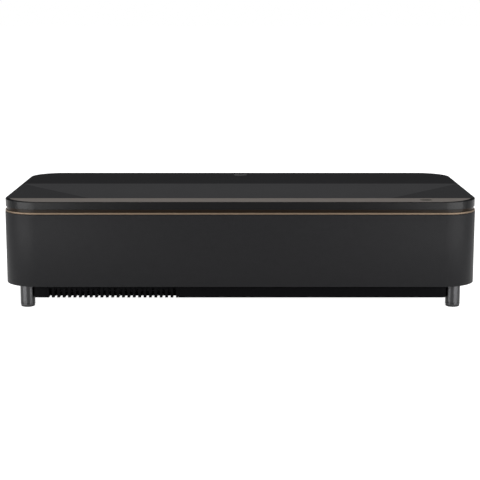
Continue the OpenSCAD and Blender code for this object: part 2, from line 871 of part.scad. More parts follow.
module lens_well() {
  color("#121213") difference() {
    union() {
      along_x(-well_hw, well_hw) polygon([
        [well_y0, well_z0],
        [well_y1, well_z0],
        [well_y1, floor_at(well_y1) - well_top],
        [well_y0, floor_at(well_y0) - well_top]
      ]);
      // Arm that holds the shutter's motor
      block(motor_x0, motor_x0 + arm_t, well_y1 - 1, drive_y + arm_r,
        drive_z - arm_r - 1, drive_z + arm_r - 2);
    }
    block(-opening_hw, opening_hw, opening_y0, opening_y1, well_z0 + glass_t, body_h);
    block(-mirror_hw, mirror_hw, opening_y0 + glass_lip, opening_y1 - glass_lip,
      well_z0 - 1, well_z0 + glass_t + 1);
    rod_x(arm_hole_r, motor_x0 - 1, motor_x0 + arm_t + 1, drive_y, drive_z);
  }
}

module lens_window() {
  color([0.75, 0.85, 0.9, 0.35])
    block(-opening_hw + gap, opening_hw - gap, opening_y0 + gap, opening_y1 - gap,
      well_z0 + glass_t, well_z0 + 2 * glass_t);
}

rail_w = 7;
rail_y1 = opening_y1 + shutter_travel + tail_l - 6;

rail_lap = 2.5;

module shutter_rails() {
  color("#3c3d40") for (s = [0, 1]) mirror([s, 0, 0]) difference() {
    sloped(slide_x - rail_lap, slide_x - rail_lap + rail_w, well_y0 - 2, rail_y1, wall, well_top + 2);
    sloped(slide_x - cut, slide_x + gap, well_y0 - 3, rail_y1 + 1,
      shutter_drop - gap / 2, well_top - gap / 2);
  }
}

mesh_d = drive_r + 0.15;
rack_foot = 1.25 * rack_m;
rack_pitch_y = drive_y - mesh_d * sin(slope_angle);
rack_pitch_z = floor_at(rack_pitch_y) - shutter_drop - shutter_t - rack_back - rack_foot;
drive_z = rack_pitch_z - mesh_d * cos(slope_angle);
motor_x0 = rack_x0 - 6;
motor_r = 6.5;
motor_l = 22;
spin_r = 1;

// Plate with a rack along its right edge
module shutter() {
  pitch = PI * rack_m;
  rack_y0 = well_y0 + 1;
  rack_y1 = well_y1 + tail_l;
  first = ceil((rack_y0 - rack_pitch_y) / cos(slope_angle) / pitch) + 1;
  last = floor((rack_y1 - rack_pitch_y) / cos(slope_angle) / pitch) - 2;
  foot_hw = 0.31 * pitch;
  tip_hw = 0.12 * pitch;
  color("#1d1d1f") {
    sloped(-slide_x, slide_x, well_y0, well_y1 - gap, shutter_drop, shutter_drop + shutter_t);
    sloped(rack_x0, rack_x0 + rack_w, rack_y0, rack_y1, shutter_drop, shutter_drop + shutter_t + rack_back);
    translate([0, rack_pitch_y, rack_pitch_z]) rotate([slope_angle, 0, 0])
      along_x(rack_x0, rack_x0 + rack_w) for (i = [first:last]) translate([(i + 0.5) * pitch, 0])
        polygon([
          [-foot_hw, rack_foot + 0.2],
          [-tip_hw, -rack_m],
          [tip_hw, -rack_m],
          [foot_hw, rack_foot + 0.2]
        ]);
  }
}

module shutter_pinion() {
  color("#d8d6cf") {
    translate([rack_x0 + gap, drive_y, drive_z]) rotate([0, 90, 0]) linear_extrude(rack_w - 2 * gap)
      rotate(180 / drive_teeth * (drive_teeth % 2 == 0 ? 0 : 1) + slope_angle) gear(drive_teeth, rack_m);
    rod_x(spin_r, motor_x0 - 6, rack_x0 + rack_w, drive_y, drive_z);
  }
}

module shutter_motor() {
  color("#7d8083") difference() {
    rod_x(motor_r, motor_x0 - motor_l, motor_x0, drive_y, drive_z);
    rod_x(spin_r + fit, motor_x0 - 7, motor_x0 + 1, drive_y, drive_z);
  }
}

// Barrel with its shoulders on both sides of the ring, a flange at the light engine and three grooves
module lens_barrel() {
  shoulder = 3;
  front_shoulder = 1.5;
  flange = 6;
  groove_w = 6;
  groove_step = (barrel_y1 - ring_y1) / 4;
  color("#3a3b3d") difference() {
    union() {
      rod_y(journal_r, barrel_y0, barrel_y1, 0, axis_z);
      rod_y(journal_r + shoulder, ring_y1 + 2 * gap, barrel_y1, 0, axis_z);
      rod_y(journal_r + front_shoulder, barrel_y0, ring_y0 - 2 * gap, 0, axis_z);
      rod_y(journal_r + flange, barrel_y1 - 4, barrel_y1, 0, axis_z);
    }
    rod_y(bore_d / 2, barrel_y0 - 1, barrel_y1 + 1, 0, axis_z);
    for (i = [1:3]) difference() {
      rod_y(journal_r + shoulder + 1, ring_y1 + i * groove_step - groove_w / 2,
        ring_y1 + i * groove_step + groove_w / 2, 0, axis_z);
      rod_y(journal_r + shoulder / 2, ring_y1 + i * groove_step - groove_w,
        ring_y1 + i * groove_step + groove_w, 0, axis_z);
    }
  }
}

module focus_ring() {
  color("#8a8c8e") difference() {
    translate([0, ring_y1, axis_z]) rotate([90, 0, 0]) linear_extrude(ring_t)
      rotate(shaft_angle) gear(ring_teeth, gear_m);
    rod_y(journal_r + fit, ring_y0 - 1, ring_y1 + 1, 0, axis_z);
  }
}

group_y0 = (ring_y1 + barrel_y1 - group_l) / 2;

// Lens cell with two hollow faces, sliding in the barrel's bore
module focus_group() {
  r = bore_d / 2 - fit;
  face_r = 2.2 * r;
  sag = 4;
  color("#4a5a68") difference() {
    rod_y(r, group_y0, group_y0 + group_l, 0, axis_z);
    for (y = [group_y0 + sag - face_r, group_y0 + group_l - sag + face_r])
      translate([0, y, axis_z]) sphere(r = face_r, $fn = fine);
  }
}

knob_t = 5;
knob_y = wall_y + 0.5;

// Knob behind the front cover, its long shaft, and the pinion that turns the focus ring
module focus_knob() {
  flute_r = 1.2;
  color("#2a2a2c") {
    difference() {
      rod_y(knob_r, knob_y, knob_y + knob_t, shaft_x, shaft_z);
      for (a = [0:30:330]) translate([shaft_x, 0, shaft_z]) rotate([0, a, 0])
        rod_y(flute_r, knob_y - 1, knob_y + knob_t + 1, knob_r + flute_r / 2, 0);
    }
    rod_y(shaft_r, knob_y + knob_t - eps, ring_y1, shaft_x, shaft_z);
    translate([shaft_x, ring_y1, shaft_z]) rotate([90, 0, 0]) linear_extrude(ring_t)
      rotate(shaft_angle + 180 + 180 / pinion_teeth) gear(pinion_teeth, gear_m);
  }
}

// Light source --------------------------------------------------------------

engine_x0 = 6 - engine_w / 2;
engine_x1 = engine_x0 + engine_w;
laser_x1 = engine_x0 - 22;
laser_x0 = laser_x1 - laser_l;
wheel_x = (laser_x1 + engine_x0) / 2;
wheel_y = (barrel_y1 + engine_y1) / 2;
wheel_z = axis_z;
axle_r = 1.5;

module light_engine() {
  lid_in = 18;
  boss_in = 8;
  port_r = 9;
  port_l = 24;
  bore_l = 30;
  slot_step = 10;
  slots = floor((engine_w - 2 * lid_in) / slot_step) - 1;
  color("#2c3033") difference() {
    union() {
      block(engine_x0, engine_x1, barrel_y1, engine_y1, seat_z, seat_z + engine_h);
      block(engine_x0 + lid_in, engine_x1 - lid_in, barrel_y1 + 6, engine_y1 - 6,
        seat_z + engine_h - eps, seat_z + engine_h + engine_lid);
      for (x = [engine_x0 + boss_in, engine_x1 - boss_in], y = [barrel_y1 + boss_in, engine_y1 - boss_in])
        rod_z(boss_in / 2, seat_z + engine_h - eps, seat_z + engine_h + 2, x, y);
    }
    rod_y(bore_d / 2, barrel_y1 - 1, barrel_y1 + bore_l, 0, axis_z);
    rod_x(port_r, engine_x0 - 1, engine_x0 + port_l, wheel_y, wheel_z + 12);
    for (i = [0:slots]) translate([engine_x0 + lid_in + 4 + i * slot_step, 0, 0])
      block(0, slot_step / 2 - 1, barrel_y1 + 10, engine_y1 - 10,
        seat_z + engine_h + engine_lid / 2, seat_z + engine_h + engine_lid + 1);
  }
}

module laser_module() {
  hub_l = 3;
  hub_r = 4;
  window_r = 4.5;
  body_x0 = laser_x0 + 6;
  body_x1 = laser_x1 - 8;
  body_y0 = barrel_y1 + 4;
  color("#8c6b4a") difference() {
    union() {
      block(laser_x0, laser_x1, barrel_y1, pipe_y + pipe_wall, seat_z, seat_z + laser_base);
      block(body_x0, body_x1, body_y0, engine_y1, seat_z + laser_base - eps, seat_z + laser_h);
      rod_x(hub_r, body_x1 - 1, laser_x1 + hub_l, wheel_y, wheel_z);
      rod_x(axle_r, body_x1 - 1, wheel_x + 4, wheel_y, wheel_z);
    }
    rod_x(pipe_r, laser_x0 - 1, laser_x1 + 1, pipe_y, pipe_z);
    for (i = [-1:1], j = [-1:1])
      rod_z(window_r, seat_z + laser_h - 4, seat_z + laser_h + 1,
        (body_x0 + body_x1) / 2 + i * laser_pitch, (body_y0 + engine_y1) / 2 + j * laser_pitch);
  }
}

module phosphor_wheel() {
  disc_t = 1.2;
  hub_r = 8;
  color("#c9b23a") difference() {
    union() {
      rod_x(wheel_r, wheel_x - disc_t / 2, wheel_x + disc_t / 2, wheel_y, wheel_z);
      rod_x(hub_r, wheel_x - 3.5, wheel_x + 3, wheel_y, wheel_z);
    }
    rod_x(axle_r + fit, wheel_x - 5, wheel_x + 5, wheel_y, wheel_z);
  }
}

sink_gap = 18;        // from the light engine to the fins
sink_fan_gap = 11;    // from the fins to the exhaust fans
sink_ahead = 84;      // from the engine's back to the front fin
sink_over = 2;        // from the engine's back to the last fin
sink_x0 = engine_x1 + sink_gap;
sink_x1 = exhaust_x - sink_fan_gap;
sink_y0 = engine_y1 - sink_ahead;
sink_y1 = engine_y1 + sink_over;
sink_z1 = seat_z + sink_h;

module heat_sink() {
  base_t = 6;
  block_h = 2 * (pipe_z - seat_z);
  n = floor((sink_y1 - sink_y0) / fin_pitch);
  color("#b4b7b9") difference() {
    union() {
      block(sink_x0, sink_x1, sink_y0, pipe_y + pipe_wall, seat_z, seat_z + base_t);
      block(sink_x0, sink_x1, pipe_y - 2 * pipe_wall, pipe_y + pipe_wall, seat_z, seat_z + block_h);
      for (i = [0:n]) block(sink_x0, sink_x1, sink_y0 + i * fin_pitch, sink_y0 + i * fin_pitch + fin_t,
        seat_z + base_t - eps, sink_z1);
    }
    rod_x(pipe_r, sink_x0 - 1, sink_x1 + 1, pipe_y, pipe_z);
  }
}

module heat_pipes() {
  color("#b87333") rod_x(pipe_r, laser_x0, sink_x1, pipe_y, pipe_z);
}

// Speakers ----------------------------------------------------------------

// Sealed box in the front corner, right-hand side, its corner following the cabinet's
module speaker_box() {
  post_r = 4;
  ledge = 4;
  recess = 3;
  color("#19191a") difference() {
    union() {
      translate([0, 0, speaker_z0]) linear_extrude(speaker_z1 - speaker_z0) intersection() {
        translate([speaker_x0, -body_d]) square([body_w, body_d + speaker_y1]);
        rounded(case_w - 2 * (wall + gap), case_d - 2 * (wall + gap), case_r - wall - gap);
      }
      for (x = [speaker_x0 + 6, chassis_w / 2 - 12])
        rod_z(post_r, seat_z, speaker_z0 + eps, x, speaker_y1 - 8);
      rod_z(post_r, seat_z, speaker_z0 + eps, speaker_x0 + 6, baffle_y + 18);
    }
    rod_y(driver_r - ledge, baffle_y - 1, speaker_y1 - wall - 2, driver_x, driver_z);
    rod_y(driver_r + fit, baffle_y - 1, baffle_y + recess, driver_x, driver_z);
  }
}

// Driver: basket, cone, dome and magnet
module speaker_driver() {
  edge_r = driver_r - 0.5;
  magnet_r = 16;
  magnet_z = 18;
  driver_l = 30;
  color("#4b4d50") translate([driver_x, baffle_y, driver_z]) rotate([-90, 0, 0]) rotate_extrude($fn = fine)
    polygon([
      [0, 4], [4, 3.4], [8, 6], [edge_r - 8.5, 1.2], [edge_r - 5.5, 0], [edge_r - 2.5, 1], [edge_r, 1],
      [edge_r, 3], [edge_r - 4.5, 3], [edge_r - 5.5, 8], [magnet_r, magnet_z],
      [magnet_r, driver_l], [0, driver_l]
    ]);
}

// Boards and rear ---------------------------------------------------------

// Power board: transformer, coil, three capacitors and an upright heat plate
module power_board() {
  side_in = 40.5;     // from the cabinet's side to the board
  laser_gap = 15;     // from the board to the laser module
  back_in = 36.5;     // from the cabinet's back to the board
  x0 = -half_w + side_in;
  x1 = laser_x0 - laser_gap;
  l = x1 - x0;
  y1 = half_d - back_in;
  y0 = y1 - power_d;
  post_h = 6;
  board_z = seat_z + post_h;
  top = board_z + board_t;
  post_in = 6;
  post_r = 3;
  core_in = 14;       // from the board's front edge to the transformer
  core_d = 40;
  coil_in = 10;
  coil_d = 34;
  can_r = 9;
  can_in = 26;        // from the board's back edge to the capacitors
  plate_w = 3;
  plate_in = 10;
  color("#2f5a3c") {
    block(x0, x1, y0, y1, board_z, top);
    for (x = [x0 + post_in, x1 - post_in], y = [y0 + post_in, y1 - post_in])
      rod_z(post_r, seat_z, board_z + eps, x, y);
    block(x0 + 0.11 * l, x0 + 0.39 * l, y0 + core_in, y0 + core_in + core_d,
      top - eps, top + power_h - 4);
    block(x0 + 0.48 * l, x0 + 0.69 * l, y0 + coil_in, y0 + coil_in + coil_d,
      top - eps, top + power_h - 12);
    for (i = [0:2]) rod_z(can_r, top - eps, top + power_h, x0 + (0.17 + 0.17 * i) * l, y1 - can_in);
    block(x0 + 0.79 * l, x0 + 0.79 * l + plate_w, y0 + plate_in, y1 - plate_in,
      top - eps, top + power_h - 6);
  }
}

socket_z = bay_z0 + 16;
video_x = [for (i = [0:2]) video_side - bay_w / 2 + i * video_pitch];
usb_x = [for (i = [-1, 1]) i * usb_pitch / 2 - 3];
audio_x = [for (i = [-1, 1]) i * audio_pitch / 2 + 41];
inlet_x = bay_w / 2 - inlet_side;
inlet_z = (bay_z0 + bay_z1) / 2;
shell_t = 0.8;
jack_r = 4.5;
jack_bore_r = 1.8;
inlet_wall = 2.5;

module main_board() {
  chip_w = 26;
  chip_t = 3;
  color("#2f5a3c") {
    block(-bay_w / 2 + 10, inlet_x - 30, board_y, socket_y0, seat_z, bay_z1 - 4);
    for (x = [-70, 10])
      block(x, x + chip_w, board_y - chip_t, board_y + eps, bay_z0 + 6, bay_z0 + 6 + chip_w);
  }
}

// Outlines of the sockets, in X and Z
module video_shape(grow = 0) {
  polygon([[-7.5 - grow, 2.8 + grow], [7.5 + grow, 2.8 + grow], [7.5 + grow, -0.5], [5, -2.8 - grow],
    [-5, -2.8 - grow], [-7.5 - grow, -0.5]]);
}

module usb_shape(grow = 0) {
  usb_w = 13.2;
  usb_h = 5.8;
  square([usb_w + 2 * grow, usb_h + 2 * grow], center = true);
}

module inlet_shape(grow = 0) {
  inlet_w = 20;
  inlet_h = 14;
  square([inlet_w + 2 * grow, inlet_h + 2 * grow], center = true);
}

module rear_panel() {
  color("#1a1a1b") difference() {
    block(-bay_w / 2 - wall / 2, bay_w / 2 + wall / 2, panel_y - rear_t, panel_y - eps,
      bay_z0 - wall / 2, bay_z1 + wall / 2);
    for (x = video_x)
      along_y(panel_y - cut / 2, panel_y + 1) translate([x, socket_z]) video_shape(shell_t + gap);
    for (x = usb_x)
      along_y(panel_y - cut / 2, panel_y + 1) translate([x, socket_z]) usb_shape(shell_t + gap);
    for (x = audio_x) rod_y(jack_r + gap, panel_y - cut / 2, panel_y + 1, x, socket_z);
    along_y(panel_y - cut / 2, panel_y + 1) translate([inlet_x, inlet_z]) inlet_shape(inlet_wall + gap);
  }
}

module video_sockets() {
  color("#b9bbbd") for (x = video_x) along_y(socket_y0, panel_y + 1) translate([x, socket_z]) difference() {
    video_shape(shell_t);
    video_shape();
  }
}

module usb_sockets() {
  color("#b9bbbd") for (x = usb_x) along_y(socket_y0, panel_y + 1) translate([x, socket_z]) difference() {
    usb_shape(shell_t);
    usb_shape();
  }
}

module audio_sockets() {
  color("#202022") for (x = audio_x) difference() {
    rod_y(jack_r, socket_y0, panel_y + 1.5, x, socket_z);
    rod_y(jack_bore_r, socket_y0 + 1, panel_y + 2, x, socket_z);
  }
}

module ac_inlet() {
  back = 18;
  lip = 2;
  pin_w = 2;
  pin_x = 5;
  color("#202022") {
    difference() {
      union() {
        along_y(panel_y - back, panel_y + lip) translate([inlet_x, inlet_z]) inlet_shape(inlet_wall);
        along_y(panel_y + eps, panel_y + lip) translate([inlet_x, inlet_z]) inlet_shape(2 * inlet_wall);
      }
      along_y(panel_y - back + 3, panel_y + lip + 1) translate([inlet_x, inlet_z]) inlet_shape();
    }
    for (s = [-1, 1]) along_y(panel_y - back + 2, panel_y - lip) translate([inlet_x + s * pin_x, inlet_z])
      square(pin_w, center = true);
  }
}

module cable_cover() {
  latch_in = 12;
  latch_hw = 1;
  notch_hw = 60;
  notch_h = 14;
  color("#222224") difference() {
    union() {
      block(-bay_w / 2 + gap, bay_w / 2 - gap, half_d - wall, half_d, bay_z0 + gap, bay_z1 - gap);
      for (x = [latch_in - bay_w / 2, bay_w / 2 - latch_in])
        block(x - latch_hw, x + latch_hw, half_d - latch_in, half_d - wall + eps,
          bay_z1 - notch_h, bay_z1 - gap);
    }
    block(-notch_hw, notch_hw, half_d - cut, half_d + 1, bay_z0 - 1, bay_z0 + notch_h);
  }
}

// Feet --------------------------------------------------------------------

leg_top = floor_z - gap;
pin_r = 3;
pin_h = 6;

module foot_inserts() {
  color("#b5934a") for (p = foot_places) difference() {
    rod_z(insert_r, chassis_z, chassis_z + insert_h, p[0], p[1]);
    rod_z(screw_d / 2 + fit, chassis_z - 1, chassis_z + insert_h + 1, p[0], p[1]);
  }
}

module foot_pad(i) {
  p = foot_places[i];
  color("#1c1c1c") {
    rod_z(foot_d / 2 - 0.6, 0, pad_h, p[0], p[1]);
    rod_z(pin_r, pad_h - eps, pad_h + pin_h, p[0], p[1]);
  }
}

module foot_leg(i) {
  p = foot_places[i];
  color("#56575a") difference() {
    union() {
      rod_z(foot_d / 2, pad_h + gap, leg_top, p[0], p[1]);
      rod_z(screw_d / 2, leg_top - eps, chassis_z + insert_h + 1, p[0], p[1]);
    }
    rod_z(pin_r + fit, pad_h - 1, pad_h + pin_h + gap, p[0], p[1]);
  }
}

top_cover();
rim_panel();
sensor_window();
gap_liner();
accent_frame();
main_case();
bottom_case();
chassis_plate();
color("#26262a") mirror([1, 0, 0]) side_grille();  // side_grille_left
color("#26262a") side_grille();  // side_grille_right
grille_frame();
grille_cloth();
filter_tray();
air_filter();
lens_well();
lens_window();
shutter_rails();
shutter();
shutter_pinion();
shutter_motor();
concave_mirror();  // mirror
mirror_bracket();
lens_barrel();
focus_ring();
focus_group();
focus_knob();
light_engine();
laser_module();
phosphor_wheel();
heat_sink();
heat_pipes();
color("#1c1c1e") at_intake() fan_frame(intake_w);  // intake_fan_frame
color("#2e2e31") at_intake() fan_rotor(intake_w);  // intake_fan_rotor
color("#1c1c1e") for (i = [0, 1]) at_exhaust(i) fan_frame(exhaust_w);  // exhaust_fan_frames
color("#2e2e31") at_exhaust(0) fan_rotor(exhaust_w);  // exhaust_fan_rotor_front
color("#2e2e31") at_exhaust(1) fan_rotor(exhaust_w);  // exhaust_fan_rotor_rear
mirror([1, 0, 0]) speaker_box();  // speaker_box_left
speaker_box();  // speaker_box_right
mirror([1, 0, 0]) speaker_driver();  // speaker_driver_left
speaker_driver();  // speaker_driver_right
power_board();
main_board();
rear_panel();
video_sockets();
usb_sockets();
audio_sockets();
ac_inlet();
cable_cover();
power_button();
button_switch();
foot_inserts();
case_screws();
foot_pad(0);  // foot_pad_front_left
foot_leg(0);  // foot_leg_front_left
foot_pad(1);  // foot_pad_front_right
foot_leg(1);  // foot_leg_front_right
foot_pad(2);  // foot_pad_rear_left
foot_leg(2);  // foot_leg_rear_left
foot_pad(3);  // foot_pad_rear_right
foot_leg(3);  // foot_leg_rear_right
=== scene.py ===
import bpy
import bmesh
import json
import math
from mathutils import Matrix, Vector


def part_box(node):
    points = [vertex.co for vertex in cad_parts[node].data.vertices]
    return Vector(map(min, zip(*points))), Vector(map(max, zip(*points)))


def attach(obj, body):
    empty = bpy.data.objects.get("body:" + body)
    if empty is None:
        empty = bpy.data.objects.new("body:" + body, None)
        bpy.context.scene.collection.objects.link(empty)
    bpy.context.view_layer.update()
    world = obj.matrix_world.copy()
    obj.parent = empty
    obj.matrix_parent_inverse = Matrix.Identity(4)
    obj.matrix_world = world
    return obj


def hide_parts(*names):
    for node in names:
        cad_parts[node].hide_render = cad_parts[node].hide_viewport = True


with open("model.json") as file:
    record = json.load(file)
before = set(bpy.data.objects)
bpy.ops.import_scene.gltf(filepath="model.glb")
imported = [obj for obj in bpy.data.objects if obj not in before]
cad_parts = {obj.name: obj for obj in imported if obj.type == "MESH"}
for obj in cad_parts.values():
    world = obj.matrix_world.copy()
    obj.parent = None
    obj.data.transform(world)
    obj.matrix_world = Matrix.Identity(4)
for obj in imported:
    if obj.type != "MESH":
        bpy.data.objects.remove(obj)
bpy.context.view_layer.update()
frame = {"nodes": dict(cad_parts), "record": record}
nodes = frame["nodes"]
bodyOf = {node: body for body, members in frame["record"]["behaviour"]["bodies"].items() for node in members}
mm = 0.001
scene = bpy.context.scene


def toLinear(colour):
    parts = [int(colour[i:i + 2], 16) / 255 for i in (1, 3, 5)]
    return [c / 12.92 if c <= 0.04045 else ((c + 0.055) / 1.055) ** 2.4 for c in parts] + [1]


def shaded(colour, factor):
    return [c * factor for c in toLinear(colour)[:3]] + [1]


def addNode(tree, kind, values=None, links=None, **settings):
    node = tree.nodes.new(kind)
    for name, value in settings.items():
        setattr(node, name, value)
    for socket, value in (values or {}).items():
        node.inputs[socket].default_value = value
    for socket, source in (links or {}).items():
        tree.links.new(source, node.inputs[socket])
    return node


def newMaterial(name, colour, roughness, surface=None):
    material = bpy.data.materials.new(name)
    material.use_nodes = True
    tree = material.node_tree
    shader = tree.nodes["Principled BSDF"]
    shader.inputs["Base Color"].default_value = toLinear(colour)
    shader.inputs["Roughness"].default_value = roughness
    for socket, value in (surface or {}).items():
        shader.inputs[socket].default_value = value
    return material, tree, shader


def inMillimetres(tree, stretch=(1, 1, 1), source="Object"):
    coords = addNode(tree, "ShaderNodeTexCoord")
    mapping = addNode(tree, "ShaderNodeMapping", {"Scale": [s / mm for s in stretch]},
                      {"Vector": coords.outputs[source]})
    return mapping.outputs["Vector"]


# one pattern drives colour, roughness and bump; 6, 7 and output 2 are the colour sockets of Mix in RGBA mode
def driveSurface(tree, shader, pattern, colour, spread, roughness, swing, depth):
    tint = addNode(tree, "ShaderNodeMix", {6: shaded(colour, 1 - spread), 7: shaded(colour, 1 + spread)},
                   {"Factor": pattern}, data_type="RGBA")
    gloss = addNode(tree, "ShaderNodeMapRange", {"From Min": 0.25, "From Max": 0.75, "To Min": roughness - swing,
                    "To Max": roughness + swing}, {"Value": pattern})
    bump = addNode(tree, "ShaderNodeBump", {"Strength": 0.6, "Distance": depth * mm}, {"Height": pattern})
    tree.links.new(tint.outputs[2], shader.inputs["Base Color"])
    tree.links.new(gloss.outputs["Result"], shader.inputs["Roughness"])
    tree.links.new(bump.outputs["Normal"], shader.inputs["Normal"])


def toObject(shape, name):
    mesh = bpy.data.meshes.new(name)
    shape.to_mesh(mesh)
    shape.free()
    obj = bpy.data.objects.new(name, mesh)
    scene.collection.objects.link(obj)
    return obj


def smoothBelow(obj, degrees):
    # smooth shading, kept sharp where two faces meet at more than this angle
    for face in obj.data.polygons:
        face.use_smooth = True
    obj.data.set_sharp_from_angle(angle=math.radians(degrees))


def easeEdges(obj, width, segments=3, degrees=32):
    bevel = obj.modifiers.new("easedEdges", "BEVEL")
    bevel.width = width * mm
    bevel.segments = segments
    bevel.limit_method = "ANGLE"
    bevel.angle_limit = math.radians(degrees)


def place(obj, material, node):
    # the piece takes the material, and stands for a CAD node on that node's body
    obj.data.materials.clear()
    obj.data.materials.append(material)
    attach(obj, bodyOf[node])
    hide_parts(node)
    return obj


def mouldedPlastic(name, colour, roughness, grain=0.45, depth=0.03, ior=1.45):
    # spark-eroded moulding: an even fine grain breaks up the gloss, and a faint cloudiness shows over a hand's width
    handWidth = 80
    material, tree, shader = newMaterial(name, colour, roughness, {"IOR": ior})
    coords = inMillimetres(tree)
    speck = addNode(tree, "ShaderNodeTexNoise", {"Scale": 1 / grain, "Detail": 2}, {"Vector": coords})
    cloud = addNode(tree, "ShaderNodeTexNoise", {"Scale": 1 / handWidth, "Detail": 2}, {"Vector": coords})
    both = addNode(tree, "ShaderNodeMix", {"Factor": 0.3}, {2: speck.outputs["Fac"], 3: cloud.outputs["Fac"]})
    driveSurface(tree, shader, both.outputs[0], colour, 0.16, roughness, 0.04, depth)
    return material


def satinPaint(name, colour, roughness, metallic=0.0, flake=0.35):
    # sprayed paint with fine flake: a slight sparkle under an orange-peel clear layer
    peelWidth = 2.2
    material, tree, shader = newMaterial(name, colour, roughness, {"Metallic": metallic, "IOR": 1.02})
    coords = inMillimetres(tree)
    flakes = addNode(tree, "ShaderNodeTexVoronoi", {"Scale": 1 / flake}, {"Vector": coords})
    peel = addNode(tree, "ShaderNodeTexNoise", {"Scale": 1 / peelWidth, "Detail": 1}, {"Vector": coords})
    grey = addNode(tree, "ShaderNodeRGBToBW", links={"Color": flakes.outputs["Color"]})
    both = addNode(tree, "ShaderNodeMix", {"Factor": 0.5}, {2: grey.outputs["Val"], 3: peel.outputs["Fac"]})
    driveSurface(tree, shader, both.outputs[0], colour, 0.08, roughness, 0.04, 0.012)
    return material


def brushedMetal(name, colour, roughness, stretch, line=0.12, spread=0.1, depth=0.004, surface=None):
    # metal with fine parallel lines from brushing or turning: stretch is small along the lines
    material, tree, shader = newMaterial(name, colour, roughness, {"Metallic": 1.0, **(surface or {})})
    lines = addNode(tree, "ShaderNodeTexNoise", {"Scale": 1 / line, "Detail": 3},
                    {"Vector": inMillimetres(tree, stretch)})
    driveSurface(tree, shader, lines.outputs["Fac"], colour, spread, roughness, 0.08, depth)
    return material


def castMetal(name, colour, roughness, cell, metallic=1.0, spread=0.12, depth=0.02):
    # cast, plated or galvanised metal: crystals or a grainy skin of about this cell size
    material, tree, shader = newMaterial(name, colour, roughness, {"Metallic": metallic})
    cells = addNode(tree, "ShaderNodeTexVoronoi", {"Scale": 1 / cell}, {"Vector": inMillimetres(tree)})
    grey = addNode(tree, "ShaderNodeRGBToBW", links={"Color": cells.outputs["Color"]})
    driveSurface(tree, shader, grey.outputs["Val"], colour, spread, roughness, 0.06, depth)
    return material


def clearGlass(name, colour, roughness, clear):
    # coated optical glass: clear body, a faint coloured reflection, and light dust in the roughness
    dustPatch = 12
    material, tree, shader = newMaterial(name, colour, roughness,
                                         {"IOR": 1.52, "Transmission Weight": clear, "Coat Weight": 0.4,
                                          "Coat Tint": toLinear("#8fb4d8")})
    dust = addNode(tree, "ShaderNodeTexNoise", {"Scale": 1 / dustPatch, "Detail": 3}, {"Vector": inMillimetres(tree)})
    haze = addNode(tree, "ShaderNodeMapRange", {"To Min": roughness, "To Max": roughness + 0.05},
                   {"Value": dust.outputs["Fac"]})
    tree.links.new(haze.outputs["Result"], shader.inputs["Roughness"])
    return material


def circuitBoard(name):
    # solder mask over copper: square tracks read as slightly lighter, raised bands
    material, tree, shader = newMaterial(name, "#245038", 0.38, {"IOR": 1.5})
    tracks = addNode(tree, "ShaderNodeTexBrick", {"Scale": 1, "Brick Width": 9, "Row Height": 2.4, "Mortar Size": 0.35,
                     "Color1": (0.2, 0.2, 0.2, 1), "Color2": (0.35, 0.35, 0.35, 1), "Mortar": (0.9, 0.9, 0.9, 1)},
                     {"Vector": inMillimetres(tree)})
    grey = addNode(tree, "ShaderNodeRGBToBW", links={"Color": tracks.outputs["Color"]})
    driveSurface(tree, shader, grey.outputs["Val"], "#2c6244", 0.35, 0.38, 0.05, 0.05)
    return material


filterCarbon = "#1a1a1c"


def pleatedFelt(name):
    # carbon-filled filter felt: soft fibres, matt and nearly black
    material, tree, shader = newMaterial(name, filterCarbon, 0.95, {"IOR": 1.05})
    fibreWidth = 0.5
    fibre = addNode(tree, "ShaderNodeTexNoise", {"Scale": 1 / fibreWidth, "Detail": 5, "Distortion": 1.5},
                    {"Vector": inMillimetres(tree, (1, 0.3, 1))})
    driveSurface(tree, shader, fibre.outputs["Fac"], filterCarbon, 0.3, 0.95, 0.03, 0.15)
    return material


# the cloth's threads follow its own unrolled width and height, which its UV map holds in metres
# the real thread is about 0.6 mm thick and is drawn coarser to show
speakerCloth = {"thread": 1.3, "colour": "#1c1c1d", "roughness": 0.43}


def wovenCloth(name):
    # plain weave of melange polyester: each thread rounds over and under, and its tone wanders along its length
    look = speakerCloth
    material, tree, shader = newMaterial(name, look["colour"], look["roughness"],
                                         {"IOR": 1.12})
    coords = inMillimetres(tree, source="UV")
    waveScale = math.pi / 10 / (2 * look["thread"])  # a sine band repeats each pi / 10 of the scaled coordinate
    warp = addNode(tree, "ShaderNodeTexWave", {"Scale": waveScale}, {"Vector": coords}, bands_direction="X")
    weft = addNode(tree, "ShaderNodeTexWave", {"Scale": waveScale}, {"Vector": coords}, bands_direction="Y")
    over = addNode(tree, "ShaderNodeMath", links={0: warp.outputs["Fac"], 1: weft.outputs["Fac"]}, operation="SUBTRACT")
    weave = addNode(tree, "ShaderNodeMath", links={0: over.outputs[0]}, operation="ABSOLUTE")
    streak = addNode(tree, "ShaderNodeTexNoise", {"Scale": 1 / look["thread"], "Detail": 2},
                     {"Vector": inMillimetres(tree, (1, 0.08, 1), "UV")})
    stripe = addNode(tree, "ShaderNodeTexNoise", {"Scale": 1 / look["thread"], "Detail": 2},
                     {"Vector": inMillimetres(tree, (0.08, 1, 1), "UV")})
    tone = addNode(tree, "ShaderNodeMix", {"Factor": 0.5}, {2: streak.outputs["Fac"], 3: stripe.outputs["Fac"]})
    both = addNode(tree, "ShaderNodeMix", {"Factor": 0.6}, {2: weave.outputs[0], 3: tone.outputs[0]})
    driveSurface(tree, shader, both.outputs[0], look["colour"], 0.3, look["roughness"], 0.04, 0.25)
    return material


